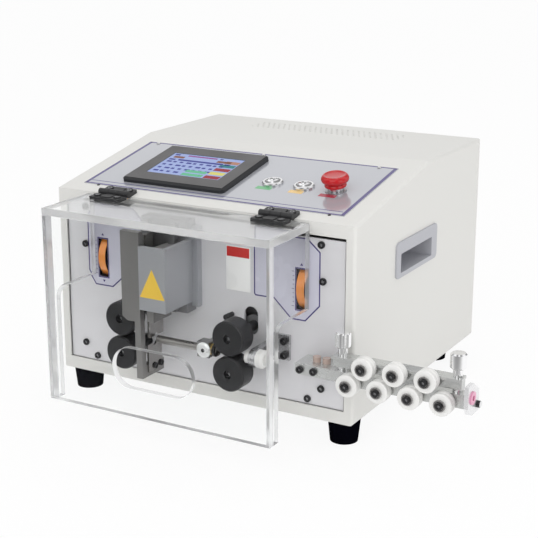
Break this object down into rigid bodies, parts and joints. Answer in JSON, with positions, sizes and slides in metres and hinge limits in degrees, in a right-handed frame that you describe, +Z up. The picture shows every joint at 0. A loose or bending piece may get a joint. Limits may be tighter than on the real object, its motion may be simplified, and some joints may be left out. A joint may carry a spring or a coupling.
{
  "type": "wire cutting and stripping machine",
  "caption": "Bench machine with a sloping control face, clear hinged cover, feed rollers, V blades and a side roller straightener that feeds, cuts and strips electric wire.",
  "frame": {"origin": "on the floor under the middle of the object's box, rubber feet standing on z = 0", "axes": "+X to the right towards the straightener, +Y to the back, +Z up; the control face looks to -Y"},
  "size_m": [0.557, 0.459, 0.293],
  "materials": {
    "white_coat": "fine powder coat, satin",
    "galv": "plated sheet, satin",
    "plate": "grained sheet, matt",
    "rubber": "matt",
    "overlay": "printed film, satin",
    "black_plastic": "moulded, fine grain",
    "dark_plastic": "moulded, satin",
    "screen": "display glass",
    "chrome": "polished",
    "red": "gloss",
    "grey_plastic": "moulded, matt",
    "orange": "translucent orange, satin",
    "acrylic": "clear acrylic, polished edges",
    "steel": "ground tool steel",
    "guard": "bent sheet, satin",
    "dark_steel": "blackened, satin",
    "blade": "ground",
    "alu": "turned, satin",
    "white_plastic": "nylon, satin",
    "ceramic": "pink, glossy",
    "board": "solder mask"
  },
  "bodies": {
    "frame": {"housing_shell": "white_coat", "base_plate": "galv", "back_panel": "white_coat", "feet": "rubber", "front_plate": "plate", "control_overlay": "overlay", "hmi_housing": "dark_plastic", "hmi_screen": "screen", "button_bezels": "chrome", "estop_collar": "chrome", "side_handles": "grey_plastic", "adjuster_plates": "overlay", "hinge_fixed_leaves": "black_plastic", "cutter_base": "dark_steel", "cutter_guard": "guard", "drive_motors": "dark_steel", "motor_bulkhead": "galv", "conduit_solenoid": "dark_steel", "inlet_bracket": "alu", "inlet_guide": "white_plastic", "straightener_bracket": "galv", "end_plate": "galv", "ceramic_eyelets": "ceramic", "power_supply": "galv", "control_board": "board", "fan_frame": "black_plastic", "mains_inlet": "black_plastic"},
    "cover": {"safety_cover": "acrylic", "hinge_cover_leaves": "black_plastic"},
    "lower_cutter": {"lower_slide": "steel", "lower_blade": "blade"},
    "upper_cutter": {"upper_slide": "dark_steel", "upper_blade": "blade"},
    "pinion": {"cutter_pinion": "steel"},
    "feed_ll": {"roller_left_lower": "rubber"},
    "lift_l": {"arm_left": "galv"},
    "feed_lu": {"roller_left_upper": "rubber"},
    "feed_rl": {"roller_right_lower": "rubber"},
    "lift_r": {"arm_right": "galv"},
    "feed_ru": {"roller_right_upper": "rubber"},
    "wheel_l": {"thumbwheel_left": "orange"},
    "wheel_r": {"thumbwheel_right": "orange"},
    "conduit": {"conduit_block": "alu", "conduit_tube": "steel"},
    "start": {"start_button": "chrome"},
    "stop": {"stop_button": "chrome"},
    "estop_push": {"estop_plunger": "chrome"},
    "estop_twist": {"estop_head": "red"},
    "press_bar": {"straightener_bar": "galv"},
    "knob_l": {"knob_left": "chrome"},
    "knob_r": {"knob_right": "chrome"},
    "fan": {"fan_rotor": "black_plastic"},
    "rocker": {"power_rocker": "black_plastic"},
    "srl_1": {"sroller_low_1": "white_plastic"},
    "srl_2": {"sroller_low_2": "white_plastic"},
    "srl_3": {"sroller_low_3": "white_plastic"},
    "srl_4": {"sroller_low_4": "white_plastic"},
    "sru_1": {"sroller_up_1": "white_plastic"},
    "sru_2": {"sroller_up_2": "white_plastic"},
    "sru_3": {"sroller_up_3": "white_plastic"}
  },
  "joints": [
    {"name": "cover_hinge", "type": "hinge", "parent": "frame", "child": "cover", "pos_m": [-0.08, -0.144, 0.259], "axis": [-1, 0, 0], "range_deg": [0, 105]},
    {"name": "lower_cut", "type": "slide", "parent": "frame", "child": "lower_cutter", "axis": [0, 0, 1], "range_m": [0, 0.009]},
    {"name": "upper_cut", "type": "slide", "parent": "frame", "child": "upper_cutter", "axis": [0, 0, -1], "range_m": [0, 0.009]},
    {"name": "pinion_turn", "type": "hinge", "parent": "frame", "child": "pinion", "pos_m": [-0.1165, -0.1815, 0.188], "axis": [0, 1, 0], "range_deg": [0, 51.57]},
    {"name": "feed_left_low", "type": "hinge", "parent": "frame", "child": "feed_ll", "pos_m": [-0.1525, -0.1785, 0.08175], "axis": [0, 1, 0], "continuous": true},
    {"name": "lift_left", "type": "hinge", "parent": "frame", "child": "lift_l", "pos_m": [-0.0975, -0.1265, 0.12825], "axis": [0, 1, 0], "range_deg": [0, 10.39]},
    {"name": "feed_left_up", "type": "hinge", "parent": "lift_l", "child": "feed_lu", "pos_m": [-0.1525, -0.1785, 0.12325], "axis": [0, 1, 0], "continuous": true},
    {"name": "feed_right_low", "type": "hinge", "parent": "frame", "child": "feed_rl", "pos_m": [-0.007, -0.1785, 0.08175], "axis": [0, 1, 0], "continuous": true},
    {"name": "lift_right", "type": "hinge", "parent": "frame", "child": "lift_r", "pos_m": [-0.062, -0.1265, 0.12825], "axis": [0, -1, 0], "range_deg": [0, 10.39]},
    {"name": "feed_right_up", "type": "hinge", "parent": "lift_r", "child": "feed_ru", "pos_m": [-0.007, -0.1785, 0.12325], "axis": [0, 1, 0], "continuous": true},
    {"name": "set_left", "type": "hinge", "parent": "frame", "child": "wheel_l", "pos_m": [-0.2119, -0.112, 0.176], "axis": [1, 0, 0], "range_deg": [0, 180]},
    {"name": "set_right", "type": "hinge", "parent": "frame", "child": "wheel_r", "pos_m": [0.054, -0.112, 0.176], "axis": [1, 0, 0], "range_deg": [0, 180]},
    {"name": "conduit_swing", "type": "hinge", "parent": "frame", "child": "conduit", "pos_m": [-0.0425, -0.1765, 0.1025], "axis": [0, -1, 0], "range_deg": [0, 20], "stiffness_Nm_per_rad": 0.04, "springref_deg": -28.65},
    {"name": "start_press", "type": "slide", "parent": "frame", "child": "start", "axis": [0, 0.1864, -0.9825], "range_m": [0, 0.003], "stiffness_N_per_m": 200, "springref_m": -0.002},
    {"name": "stop_press", "type": "slide", "parent": "frame", "child": "stop", "axis": [0, 0.1864, -0.9825], "range_m": [0, 0.003], "stiffness_N_per_m": 200, "springref_m": -0.002},
    {"name": "estop_press", "type": "slide", "parent": "frame", "child": "estop_push", "axis": [0, 0.1864, -0.9825], "range_m": [0, 0.004]},
    {"name": "estop_release", "type": "hinge", "parent": "estop_push", "child": "estop_twist", "pos_m": [0.0575, -0.06021, 0.28345], "axis": [0, -0.1864, 0.9825], "range_deg": [0, 45], "stiffness_Nm_per_rad": 0.02, "springref_deg": -11.46},
    {"name": "knob_left_turn", "type": "hinge", "parent": "frame", "child": "knob_l", "pos_m": [0.1193, -0.1595, 0.123], "axis": [0, 0, 1], "range_deg": [-1080, 2160]},
    {"name": "knob_right_turn", "type": "hinge", "parent": "frame", "child": "knob_r", "pos_m": [0.2513, -0.1595, 0.123], "axis": [0, 0, 1], "range_deg": [-1080, 2160]},
    {"name": "press_bar_lift", "type": "slide", "parent": "frame", "child": "press_bar", "axis": [0, 0, 1], "range_m": [-0.003, 0.006]},
    {"name": "straighten_low_1", "type": "hinge", "parent": "frame", "child": "srl_1", "pos_m": [0.1345, -0.1765, 0.092], "axis": [0, 1, 0], "continuous": true},
    {"name": "straighten_low_2", "type": "hinge", "parent": "frame", "child": "srl_2", "pos_m": [0.1703, -0.1765, 0.092], "axis": [0, 1, 0], "continuous": true},
    {"name": "straighten_low_3", "type": "hinge", "parent": "frame", "child": "srl_3", "pos_m": [0.2061, -0.1765, 0.092], "axis": [0, 1, 0], "continuous": true},
    {"name": "straighten_low_4", "type": "hinge", "parent": "frame", "child": "srl_4", "pos_m": [0.2419, -0.1765, 0.092], "axis": [0, 1, 0], "continuous": true},
    {"name": "straighten_up_1", "type": "hinge", "parent": "press_bar", "child": "sru_1", "pos_m": [0.1524, -0.1765, 0.114], "axis": [0, 1, 0], "continuous": true},
    {"name": "straighten_up_2", "type": "hinge", "parent": "press_bar", "child": "sru_2", "pos_m": [0.1882, -0.1765, 0.114], "axis": [0, 1, 0], "continuous": true},
    {"name": "straighten_up_3", "type": "hinge", "parent": "press_bar", "child": "sru_3", "pos_m": [0.224, -0.1765, 0.114], "axis": [0, 1, 0], "continuous": true},
    {"name": "fan_spin", "type": "hinge", "parent": "frame", "child": "fan", "pos_m": [0.0335, 0.2095, 0.203], "axis": [0, 1, 0], "continuous": true},
    {"name": "rocker_tilt", "type": "hinge", "parent": "frame", "child": "rocker", "pos_m": [-0.1915, 0.2175, 0.138], "axis": [-1, 0, 0], "range_deg": [0, 16]}
  ],
  "couplings": [
    {"joint": "upper_cut", "follows": "lower_cut", "ratio": 1},
    {"joint": "pinion_turn", "follows": "lower_cut", "rad_per_m": 100},
    {"joint": "feed_left_up", "follows": "feed_left_low", "ratio": -1},
    {"joint": "feed_right_up", "follows": "feed_right_low", "ratio": -1},
    {"joint": "lift_left", "follows": "set_left", "ratio": 0.057722},
    {"joint": "lift_right", "follows": "set_right", "ratio": 0.057722},
    {"joint": "knob_left_turn", "follows": "press_bar_lift", "rad_per_m": 6283.2},
    {"joint": "knob_right_turn", "follows": "press_bar_lift", "rad_per_m": 6283.2}
  ]
}
